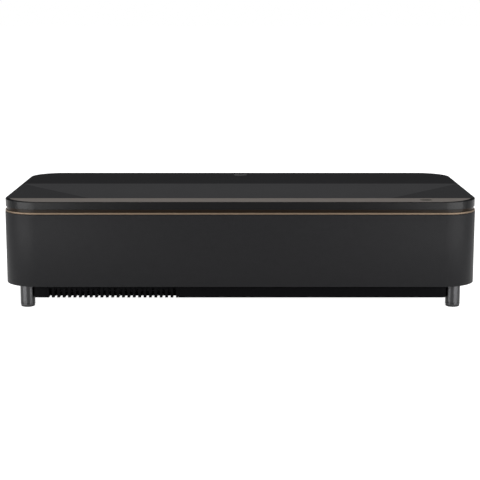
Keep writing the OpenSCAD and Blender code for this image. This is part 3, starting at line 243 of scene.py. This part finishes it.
finishes = {
    # glossy moulding: dark, with soft mirrored edges of light on the skirt
    "coverPolycarbonate": mouldedPlastic("coverPolycarbonate", "#060607", 0.3, ior=1.2),
    # a thin liner in the shadow gap: its dark brown is a painted reflection of the copper-gold trim below it, and it
    # brightens only where light falls in at the corners
    "paintedTrimReflection": mouldedPlastic("gapLinerPaintedReflection", "#140d06", 0.3, ior=1.15),
    # the same moulding left matt: each slope of the top shows as one even tone, painted lighter or darker for the light
    # that slope catches (painted light and shade), and the edge tone is the black left round the rim's paint
    "deckPaintedShade": mouldedPlastic("mattPolycarbonateDeckPaintedShade", "#252526", 0.7, ior=1.0),
    "basinPaintedLight": mouldedPlastic("mattPolycarbonateBasinPaintedLight", "#373738", 0.7, ior=1.0),
    "facetPaintedHalfShade": mouldedPlastic("mattPolycarbonateFacetPaintedHalfShade", "#2f2f30", 0.7, ior=1.0),
    "edgePolycarbonate": mouldedPlastic("mattEdgePolycarbonate", "#1a1a1b", 0.7, ior=1.0),
    # warm grey flake paint: the one lighter band of the top, with a darker button in it
    "rimPaint": satinPaint("rimPaint", "#5e5955", 0.5),
    "buttonPaint": satinPaint("buttonPaint", "#3b3733", 0.45),
    # smoked acrylic that lets infrared through: smooth and almost black
    "darkWindow": mouldedPlastic("darkAcrylicWindow", "#101011", 0.26, grain=3, depth=0.002, ior=1.016),
    # brushed and anodised: a warm line that brightens towards the corners
    "copperGold": brushedMetal("anodisedCopperGold", "#5d5145", 0.64, (0.02, 0.02, 1)),
    # textured housings: dull dark grey for the cabinet, near black for the base
    "caseAbs": mouldedPlastic("texturedCaseAbs", "#202022", 0.55, ior=1.3),
    "baseAbs": mouldedPlastic("texturedBaseAbs", "#0a0a0b", 0.55, ior=1.05),
    # glass-filled fan plastic, a coarser grain than the housing's
    "fanPbt": mouldedPlastic("mouldedFanPbt", "#1b1b1d", 0.45, grain=0.8),
    # bare gear plastic: milky white with a waxy gloss
    "acetal": mouldedPlastic("naturalAcetal", "#d8d6cf", 0.4, grain=1.2, depth=0.01),
    # woven polyester: matt charcoal that lightens a little round the corners
    "speakerCloth": wovenCloth("melangeSpeakerCloth"),
    # the turning lines run round the leg, so a highlight is drawn out up and down it
    "turnedNickel": brushedMetal("turnedBlackNickel", "#3a3a3b", 0.35, (0.02, 0.02, 1),
                                 surface={"Anisotropic": 0.85, "Anisotropic Rotation": 0.25}),
    # moulded rubber: dusty black without a highlight
    "padRubber": mouldedPlastic("nitrileRubber", "#161617", 0.75, grain=0.7, depth=0.04),
    # hot-dip zinc: bright spangle in patches of a few millimetres
    "galvanised": castMetal("galvanisedSheet", "#9a9c9e", 0.42, 7),
    # plated and anodised parts: even skins that glint at the edges
    "blackZinc": castMetal("blackZincSheet", "#4c4e51", 0.45, 1.5),
    "platedSteel": castMetal("platedSteel", "#8b8e91", 0.3, 0.8),
    "blackAnodised": castMetal("blackAnodisedAluminium", "#343537", 0.4, 0.5),
    # milled or extruded metal: fine straight lines and a silky shine
    "machinedAluminium": brushedMetal("machinedAluminium", "#b4b7b9", 0.3, (0.05, 1, 1)),
    # vapour-coated mirror: clear reflections, hardly any texture
    "aluminisedMirror": brushedMetal("aluminisedMirror", "#d6dade", 0.03, (1, 1, 1), line=40, spread=0.01, depth=0.0),
    # coated glass: the window stays clear, the lens group is deeper and bluish
    "clearGlass": clearGlass("coatedCoverGlass", "#e8f0f2", 0.02, 0.9),
    "lensGlass": clearGlass("coatedLensGlass", "#5a6c7c", 0.03, 0.6),
    # drawn pipe, turned insert and cast block: three warm metals, from shiny to dull
    "copper": brushedMetal("drawnCopperPipe", "#b87345", 0.28, (0.02, 1, 1)),
    "brass": brushedMetal("turnedBrass", "#b5934a", 0.3, (0.02, 0.02, 1)),
    "bareBronze": castMetal("castCopperBlock", "#96704a", 0.4, 1.2),
    # sintered powder: a chalky yellow
    "phosphor": castMetal("phosphorCoating", "#cbb43c", 0.8, 0.4, metallic=0.0, depth=0.05),
    # green lacquer over copper tracks
    "solderMask": circuitBoard("greenSolderMask"),
    # carbon felt in pleats: black that swallows light
    "filterFelt": pleatedFelt("pleatedFilterFelt"),
}


# a face with many slots or teeth folds over when its edges are eased, so these pieces keep triangles
slottedPieces = {"side_grille_left", "side_grille_right", "shutter"}
# how close two points are to count as one, in millimetres, and how flat a bend is to be dissolved, in degrees
meshCleaning = {"weld": 0.002, "flat": 0.5}


# a CAD piece that keeps its shape: a merged copy with its edges eased stands for the node
def easedCopy(node, name, material, width, segments=3, degrees=32):
    shape = bmesh.new()
    shape.from_mesh(nodes[node].data)
    bmesh.ops.remove_doubles(shape, verts=shape.verts, dist=meshCleaning["weld"] * mm)
    bmesh.ops.dissolve_limit(shape, angle_limit=math.radians(meshCleaning["flat"]), use_dissolve_boundaries=False,
                             verts=shape.verts, edges=shape.edges, delimit={"NORMAL"})
    if node in slottedPieces:
        bmesh.ops.triangulate(shape, faces=[face for face in shape.faces if len(face.verts) > 4])
    obj = toObject(shape, name)
    smoothBelow(obj, degrees)
    if width:
        easeEdges(obj, width, segments, degrees)
    return place(obj, finishes[material], node)


# node: name of the piece, finish, and the width in millimetres that its edges are eased by
shellPieces = {
    "top_cover": ("topCover", "coverPolycarbonate", 0.5),
    "rim_panel": ("rimPanel", "rimPaint", 0.25),
    "sensor_window": ("receiverWindow", "darkWindow", 0.2),
    # the liner's brown colour is a painted reflection of the copper-gold trim
    "gap_liner": ("gapLiner", "paintedTrimReflection", 0.2),
    "accent_frame": ("accentFrame", "copperGold", 0.4),
    "main_case": ("mainCase", "caseAbs", 0.4),
    "bottom_case": ("bottomCase", "baseAbs", 0.5),
    "side_grille_left": ("sideGrilleLeft", "caseAbs", 0.2),
    "side_grille_right": ("sideGrilleRight", "caseAbs", 0.2),
    "grille_frame": ("grilleFrame", "baseAbs", 0.3),
    "filter_tray": ("filterTray", "baseAbs", 0.25),
    "cable_cover": ("cableCover", "caseAbs", 0.4),
    "rear_panel": ("rearPanel", "caseAbs", 0.2),
    "power_button": ("powerButton", "buttonPaint", 0.3),
    "shutter": ("shutterPlate", "coverPolycarbonate", 0.15),
    "lens_well": ("lensWell", "baseAbs", 0.3),
    "ac_inlet": ("mainsInlet", "baseAbs", 0.25),
}
for node, (name, finish, width) in shellPieces.items():
    easedCopy(node, name, finish, width)
print("shells:", len(shellPieces))

# the cover's upper faces are told apart by their slopes: the level deck, the basin floor and its two corner facets,
# each given its own painted light or shade
coverFaces = {
    "deckPaintedShade": [(0, 0, 1)],
    "basinPaintedLight": [(0, -0.0995, 0.995)],
    "facetPaintedHalfShade": [(0.0817, 0, 0.9967), (-0.0817, 0, 0.9967)],
}
# how many millimetres down the upper faces reach, and how alike two slopes have to be
coverTop = {"depth": 25, "match": 0.9996}


def finishCover():
    cover = bpy.data.objects["topCover"]
    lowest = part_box("top_cover")[1].z - coverTop["depth"] * mm
    for slot, (finish, normals) in enumerate(coverFaces.items(), 1):
        cover.data.materials.append(finishes[finish])
        for face in cover.data.polygons:
            alike = any(face.normal.dot(Vector(normal)) > coverTop["match"] for normal in normals)
            if face.center.z > lowest and alike:
                face.material_index = slot


finishCover()

# the rim's paint stops short of the front edge, and further short of the two ends, which stay black; lengths in
# millimetres, and level is how far upright a face's normal has to stand
rimMask = {"width": 0.5, "buttonClear": 16, "endInset": 3, "endRadius": 55, "endSteps": 8, "level": 0.9}


def levelFaces(shape):
    return [face for face in shape.faces if face.normal.z > rimMask["level"]]


def maskRim():
    mask = rimMask
    rim = bpy.data.objects["rimPanel"]
    rim.data.materials.append(finishes["edgePolycarbonate"])
    width = mask["width"] * mm
    radius = mask["endRadius"] * mm
    buttonLow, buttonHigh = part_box("power_button")
    button = (buttonLow + buttonHigh) / 2
    low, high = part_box("rim_panel")
    shape = bmesh.new()
    shape.from_mesh(rim.data)
    # planes that touch the paint's rounded ends part what lies outside them
    ends = []
    for side in (-1, 1):
        centre = Vector((side * (high.x - mask["endInset"] * mm - radius), low.y + width + radius, 0))
        for step in range(1, mask["endSteps"] + 1):
            turn = math.radians(90) * step / mask["endSteps"]
            outwards = Vector((side * math.sin(turn), -math.cos(turn), 0))
            ends.append((centre + outwards * radius, outwards))
            upper = levelFaces(shape)
            # keys of a dictionary keep their order, so that each run cuts in the same way
            rims = dict.fromkeys(edge for face in upper for edge in face.edges)
            corners = dict.fromkeys(vert for face in upper for vert in face.verts)
            bmesh.ops.bisect_plane(shape, geom=[*upper, *rims, *corners], dist=meshCleaning["weld"] / 2 * mm,
                                   plane_co=ends[-1][0], plane_no=outwards)
    border = set(bmesh.ops.inset_region(shape, faces=levelFaces(shape), thickness=width, use_even_offset=True,
                                        use_boundary=True)["faces"])
    for face in shape.faces:
        middle = face.calc_center_median()
        pastEnd = any((middle - touch).dot(outwards) > 0 for touch, outwards in ends)
        atFront = middle.y < high.y - width and (middle.xy - button.xy).length > mask["buttonClear"] * mm
        if face.normal.z < mask["level"] or pastEnd or (face in border and atFront):
            face.material_index = 1
    shape.to_mesh(rim.data)
    shape.free()


maskRim()

# node: finish, for pieces inside the cabinet that keep their CAD mesh
innerPieces = {
    "chassis_plate": "galvanised", "lens_window": "clearGlass", "shutter_rails": "blackZinc",
    "shutter_pinion": "acetal", "shutter_motor": "platedSteel", "mirror": "aluminisedMirror",
    "mirror_bracket": "blackZinc", "lens_barrel": "blackAnodised", "focus_ring": "machinedAluminium",
    "focus_group": "lensGlass", "focus_knob": "baseAbs", "light_engine": "blackAnodised",
    "laser_module": "bareBronze", "phosphor_wheel": "phosphor", "heat_sink": "machinedAluminium",
    "heat_pipes": "copper", "intake_fan_frame": "fanPbt", "intake_fan_rotor": "fanPbt",
    "exhaust_fan_frames": "fanPbt", "exhaust_fan_rotor_front": "fanPbt", "exhaust_fan_rotor_rear": "fanPbt",
    "speaker_box_left": "baseAbs", "speaker_box_right": "baseAbs", "speaker_driver_left": "blackAnodised",
    "speaker_driver_right": "blackAnodised", "power_board": "solderMask", "main_board": "solderMask",
    "video_sockets": "platedSteel", "usb_sockets": "platedSteel", "audio_sockets": "baseAbs",
    "button_switch": "solderMask", "foot_inserts": "brass", "case_screws": "platedSteel",
    "air_filter": "filterFelt",
}
for node, finish in innerPieces.items():
    obj = nodes[node]
    obj.data.materials.clear()
    obj.data.materials.append(finishes[finish])
print("inner pieces:", len(innerPieces))


# the speaker cloth is stretched over the front cover; sizes in millimetres
clothFit = {"cornerRadius": 50, "cornerSteps": 20, "margin": 0.2, "thickness": 0.7, "edge": 0.3, "weld": 0.01}


def vertsOf(geometry):
    return [part for part in geometry if isinstance(part, bmesh.types.BMVert)]


def stretchCloth():
    low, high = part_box("grille_cloth")
    fit = clothFit
    margin = fit["margin"] * mm
    radius = fit["cornerRadius"] * mm
    shape = bmesh.new()
    # the outline, seen from above: left return, corner, front, corner, right return
    start = shape.verts.new((low.x, high.y, low.z + margin))
    edge = bmesh.ops.extrude_vert_indiv(shape, verts=[start])["verts"]
    bmesh.ops.translate(shape, verts=edge, vec=(0, low.y + radius - high.y, 0))
    corner = bmesh.ops.spin(shape, geom=edge, cent=(low.x + radius, low.y + radius, 0), axis=(0, 0, 1),
                            angle=math.radians(90), steps=fit["cornerSteps"])["geom_last"]
    edge = bmesh.ops.extrude_vert_indiv(shape, verts=vertsOf(corner))["verts"]
    bmesh.ops.translate(shape, verts=edge, vec=(high.x - low.x - 2 * radius, 0, 0))
    corner = bmesh.ops.spin(shape, geom=edge, cent=(high.x - radius, low.y + radius, 0), axis=(0, 0, 1),
                            angle=math.radians(90), steps=fit["cornerSteps"])["geom_last"]
    edge = bmesh.ops.extrude_vert_indiv(shape, verts=vertsOf(corner))["verts"]
    bmesh.ops.translate(shape, verts=edge, vec=(0, high.y - low.y - radius, 0))
    wall = bmesh.ops.extrude_edge_only(shape, edges=list(shape.edges))["geom"]
    bmesh.ops.translate(shape, verts=vertsOf(wall), vec=(0, 0, high.z - low.z - 2 * margin))
    bmesh.ops.remove_doubles(shape, verts=shape.verts, dist=fit["weld"] * mm)
    bmesh.ops.recalc_face_normals(shape, faces=shape.faces)
    # threads run along the unrolled outline and up the height
    layer = shape.loops.layers.uv.new("threads")
    for face in shape.faces:
        for loop in face.loops:
            point = loop.vert.co
            side = -1 if point.x < 0 else 1
            across = max(0, abs(point.x) - (high.x - radius))
            back = max(0, point.y - (low.y + radius))
            turn = math.atan2(across, max(1e-9, low.y + radius - point.y)) if back == 0 else math.pi / 2
            run = min(abs(point.x), high.x - radius) + radius * turn + back
            loop[layer].uv = (side * run, point.z)
    cloth = toObject(shape, "speakerCloth")
    smoothBelow(cloth, 60)
    solid = cloth.modifiers.new("thickness", "SOLIDIFY")
    solid.thickness = fit["thickness"] * mm
    solid.offset = -1
    easeEdges(cloth, fit["edge"], 2, 60)
    place(cloth, finishes["speakerCloth"], "grille_cloth")


stretchCloth()


# turned legs with a chamfer and a groove, on rubber pads; sizes in millimetres
footTurning = {"chamfer": 0.6, "grooveUp": 2.6, "grooveHeight": 0.8, "grooveDepth": 0.5, "screwRadius": 4,
               "clothClear": 0.3, "steps": 64}
padMoulding = {"edge": 1.2, "ease": 0.35, "legClear": 0.05, "steps": 64}


def spinProfile(profile, centre, steps):
    # turns a profile of (radius, height) round a vertical axis into a closed solid
    shape = bmesh.new()
    points = [shape.verts.new((centre.x + r, centre.y, z)) for r, z in profile]
    edges = [shape.edges.new(pair) for pair in zip(points, points[1:])]
    bmesh.ops.spin(shape, geom=points + edges, cent=(centre.x, centre.y, 0), axis=(0, 0, 1),
                   angle=math.radians(360), steps=steps, use_merge=True)
    bmesh.ops.remove_doubles(shape, verts=shape.verts, dist=meshCleaning["weld"] / 2 * mm)
    bmesh.ops.recalc_face_normals(shape, faces=shape.faces)
    return shape


def turnFoot(corner):
    turning = footTurning
    legLow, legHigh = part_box("foot_leg_" + corner)
    padLow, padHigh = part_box("foot_pad_" + corner)
    centre = (legLow + legHigh) / 2
    radius = (legHigh.x - legLow.x) / 2
    bottom = legLow.z
    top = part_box("grille_cloth")[0].z - turning["clothClear"] * mm
    c = turning["chamfer"] * mm
    g0 = bottom + turning["grooveUp"] * mm
    g1 = g0 + turning["grooveHeight"] * mm
    depth = turning["grooveDepth"] * mm
    screw = turning["screwRadius"] * mm
    leg = spinProfile([(0, bottom), (radius - c, bottom), (radius, bottom + c), (radius, g0 - depth / 2),
                       (radius - depth, g0), (radius - depth, g1), (radius, g1 + depth / 2), (radius, top - c),
                       (radius - c, top), (screw, top), (screw, legHigh.z - c), (screw - c, legHigh.z), (0, legHigh.z)],
                      centre, turning["steps"])
    legPiece = toObject(leg, "footLeg_" + corner)
    smoothBelow(legPiece, 30)
    place(legPiece, finishes["turnedNickel"], "foot_leg_" + corner)
    padRadius = (padHigh.x - padLow.x) / 2
    padTop = bottom - padMoulding["legClear"] * mm
    edge = padMoulding["edge"] * mm
    ease = padMoulding["ease"] * mm
    pad = spinProfile([(0, 0), (padRadius - edge, 0), (padRadius - ease, ease), (padRadius, edge),
                       (padRadius, padTop), (0, padTop)], centre, padMoulding["steps"])
    padPiece = toObject(pad, "footPad_" + corner)
    smoothBelow(padPiece, 40)
    place(padPiece, finishes["padRubber"], "foot_pad_" + corner)


for corner in ("front_left", "front_right", "rear_left", "rear_right"):
    turnFoot(corner)
print("feet turned")


# a pale floor, five lamps and the camera; metres and watts
studio = {
    "floorSize": 60, "floorDrop": 0.0002, "floorColour": "#b4b4b4", "floorGlow": 0.95,
    "ambient": 0.15,
    "lamps": {
        # place, aimed at, size, watts
        "overhead": ((0, 0, 2.2), (0, 0, 0.1), (2.4, 1.6), 43),
        "leftPanel": ((-0.8, -0.7, 0.16), (-0.33, -0.15, 0.1), (0.9, 0.3), 11),
        "rightPanel": ((0.8, -0.7, 0.16), (0.33, -0.15, 0.1), (0.9, 0.3), 11),
        "front": ((0, -3.2, 1.2), (0, 0, 0.1), (2.0, 1.0), 1),
        "rear": ((0, 2.6, 1.2), (0, 0, 0.1), (2.0, 1.0), 14),
    },
}


def shownDirectly(tree):
    # 1 where the camera, a reflection or a look through glass sees the surface, 0 where it only lights the object
    path = addNode(tree, "ShaderNodeLightPath")
    seen = addNode(tree, "ShaderNodeMath", links={0: path.outputs["Is Camera Ray"], 1: path.outputs["Is Glossy Ray"]},
                   operation="MAXIMUM")
    shown = addNode(tree, "ShaderNodeMath", links={0: seen.outputs[0], 1: path.outputs["Is Transmission Ray"]},
                    operation="MAXIMUM")
    return shown


def layStudio():
    setup = studio
    shape = bmesh.new()
    bmesh.ops.create_grid(shape, x_segments=1, y_segments=1, size=setup["floorSize"] / 2)
    bmesh.ops.translate(shape, verts=shape.verts, vec=(0, 0, -setup["floorDrop"]))
    floor = toObject(shape, "paleFloor")
    material = bpy.data.materials.new("paleFloorPaper")
    material.use_nodes = True
    tree = material.node_tree
    tree.nodes.clear()
    shown = shownDirectly(tree)
    glow = addNode(tree, "ShaderNodeMath", {1: setup["floorGlow"]}, {0: shown.outputs[0]}, operation="MULTIPLY")
    light = addNode(tree, "ShaderNodeEmission", {"Color": (1, 1, 1, 1)}, {"Strength": glow.outputs[0]})
    grain = addNode(tree, "ShaderNodeTexNoise", {"Scale": 1 / 3}, {"Vector": inMillimetres(tree)})
    tone = addNode(tree, "ShaderNodeMix", {6: shaded(setup["floorColour"], 0.98), 7: toLinear(setup["floorColour"])},
                   {"Factor": grain.outputs["Fac"]}, data_type="RGBA")
    paper = addNode(tree, "ShaderNodeBsdfDiffuse", links={"Color": tone.outputs[2]})
    both = addNode(tree, "ShaderNodeAddShader", links={0: paper.outputs[0], 1: light.outputs[0]})
    addNode(tree, "ShaderNodeOutputMaterial", links={"Surface": both.outputs[0]})
    floor.data.materials.append(material)

    world = bpy.data.worlds.new("studioWorld")
    scene.world = world
    world.use_nodes = True
    tree = world.node_tree
    tree.nodes.clear()
    shown = shownDirectly(tree)
    dim = addNode(tree, "ShaderNodeBackground", {"Color": (1, 1, 1, 1), "Strength": setup["ambient"]})
    white = addNode(tree, "ShaderNodeBackground", {"Color": (1, 1, 1, 1), "Strength": 1.0})
    sky = addNode(tree, "ShaderNodeMixShader", links={0: shown.outputs[0], 1: dim.outputs[0], 2: white.outputs[0]})
    addNode(tree, "ShaderNodeOutputWorld", links={"Surface": sky.outputs[0]})

    for name, (at, target, size, watts) in setup["lamps"].items():
        data = bpy.data.lights.new(name, "AREA")
        data.shape = "RECTANGLE"
        data.size, data.size_y = size
        data.energy = watts
        lamp = bpy.data.objects.new(name, data)
        lamp.visible_camera = False
        lamp.location = at
        lamp.rotation_euler = (Vector(target) - Vector(at)).to_track_quat("-Z", "Y").to_euler()
        scene.collection.objects.link(lamp)


layStudio()

# metres, degrees below level, and millimetres of lens and sensor
viewpoint = {"side": -0.0003, "distance": 2.0363, "height": 0.4334, "pitch": 10.048, "lens": 98.03, "sensor": 36,
             "reach": 50}


def setCamera():
    view = viewpoint
    data = bpy.data.cameras.new("viewer")
    data.lens = view["lens"]
    data.sensor_width = view["sensor"]
    data.clip_end = view["reach"]
    camera = bpy.data.objects.new("viewer", data)
    camera.location = (view["side"], -view["distance"], view["height"])
    camera.rotation_euler = (math.radians(90 - view["pitch"]), 0, 0)
    scene.collection.objects.link(camera)
    scene.camera = camera


setCamera()
scene.view_settings.view_transform = "Standard"
print("studio and camera set")
